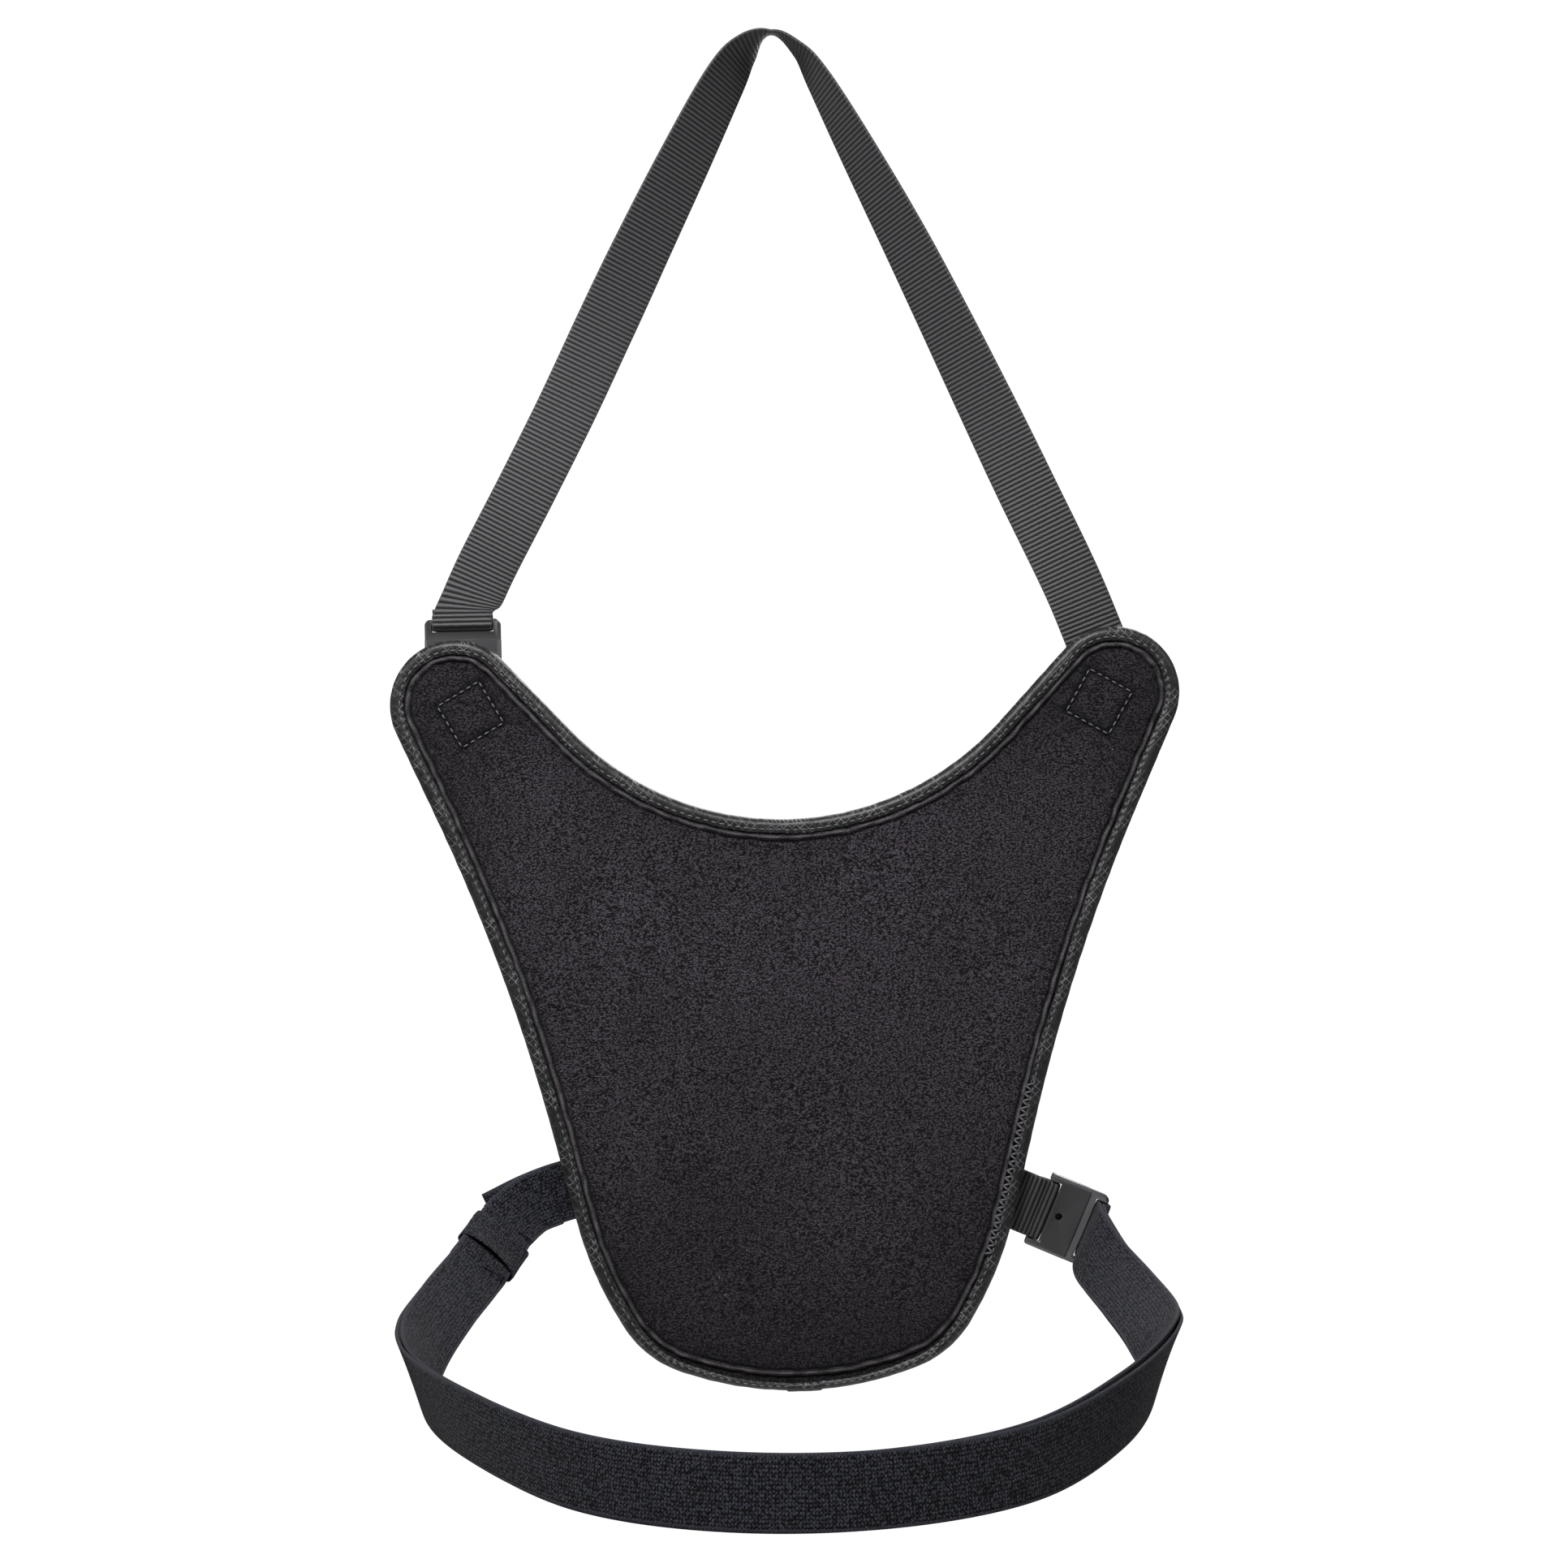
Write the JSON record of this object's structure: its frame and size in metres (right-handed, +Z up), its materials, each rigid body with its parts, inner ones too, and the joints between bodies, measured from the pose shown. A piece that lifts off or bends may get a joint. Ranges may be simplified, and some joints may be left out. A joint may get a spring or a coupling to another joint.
{
  "type": "harness sling",
  "caption": "Padded V-shaped body sling with a buckled neck strap and an elastic waist belt that loops round the wearer and buckles at the side.",
  "frame": {"origin": "underside of the neck strap at the top of its loop, where it rests on the neck or a hook", "axes": "+Z up along the hanging strap, +X to the right of someone who looks at the lining, +Y away from the wearer, so the lining faces -Y"},
  "size_m": [0.3274, 0.3019, 0.5689],
  "materials": {
    "shell_nylon": "matte ripstop nylon",
    "foam": "open foam",
    "lining_knit": "brushed knit",
    "binding_tape": "slightly glossy folded tape",
    "thread": "twisted thread",
    "webbing": "ribbed woven webbing",
    "elastic": "coarse woven elastic",
    "buckle_plastic": "satin moulded"
  },
  "bodies": {
    "harness": {"outer_shell": "shell_nylon", "foam_core": "foam", "lining_panel": "lining_knit", "edge_binding": "binding_tape", "left_ear_stitch": "thread", "right_ear_stitch": "thread", "neck_strap": "webbing", "neck_strap_stitch": "thread", "neck_tab": "webbing", "neck_tab_stitch": "thread", "neck_socket": "buckle_plastic", "belt_anchor": "elastic", "belt_anchor_stitch": "thread", "belt_band": "elastic", "belt_return": "elastic", "belt_tab": "webbing", "belt_tab_stitch": "thread", "belt_socket": "buckle_plastic"},
    "neck_plug_body": {"neck_plug": "buckle_plastic", "neck_loop": "webbing", "neck_strap_end": "webbing"},
    "neck_latch_body": {"neck_latch": "buckle_plastic"},
    "belt_plug_body": {"belt_plug": "buckle_plastic", "belt_loop": "elastic", "belt_strap_end": "elastic"},
    "belt_latch_body": {"belt_latch": "buckle_plastic"},
    "keeper_body": {"belt_keeper": "elastic"}
  },
  "joints": [
    {"name": "neck_release", "type": "slide", "parent": "harness", "child": "neck_plug_body", "axis": [0, 0, 1], "range_m": [0, 0.015], "deforming": ["neck_strap_end", "neck_latch"]},
    {"name": "neck_latch_press", "type": "hinge", "parent": "neck_plug_body", "child": "neck_latch_body", "pos_m": [-0.13396, 0.0028, -0.24867], "axis": [-1, 0, 0], "range_deg": [0, 12], "stiffness_Nm_per_rad": 0.3},
    {"name": "belt_release", "type": "slide", "parent": "harness", "child": "belt_plug_body", "axis": [0.9135, 0, -0.4067], "range_m": [0, 0.015], "deforming": ["belt_strap_end", "belt_latch"]},
    {"name": "belt_latch_press", "type": "hinge", "parent": "belt_plug_body", "child": "belt_latch_body", "pos_m": [0.11896, 0.0028, -0.50015], "axis": [0.4067, 0, 0.9135], "range_deg": [0, 12], "stiffness_Nm_per_rad": 0.3},
    {"name": "keeper_slide", "type": "slide", "parent": "harness", "child": "keeper_body", "axis": [-0.2444, -0.9163, -0.3172], "range_m": [0, 0.006]}
  ]
}
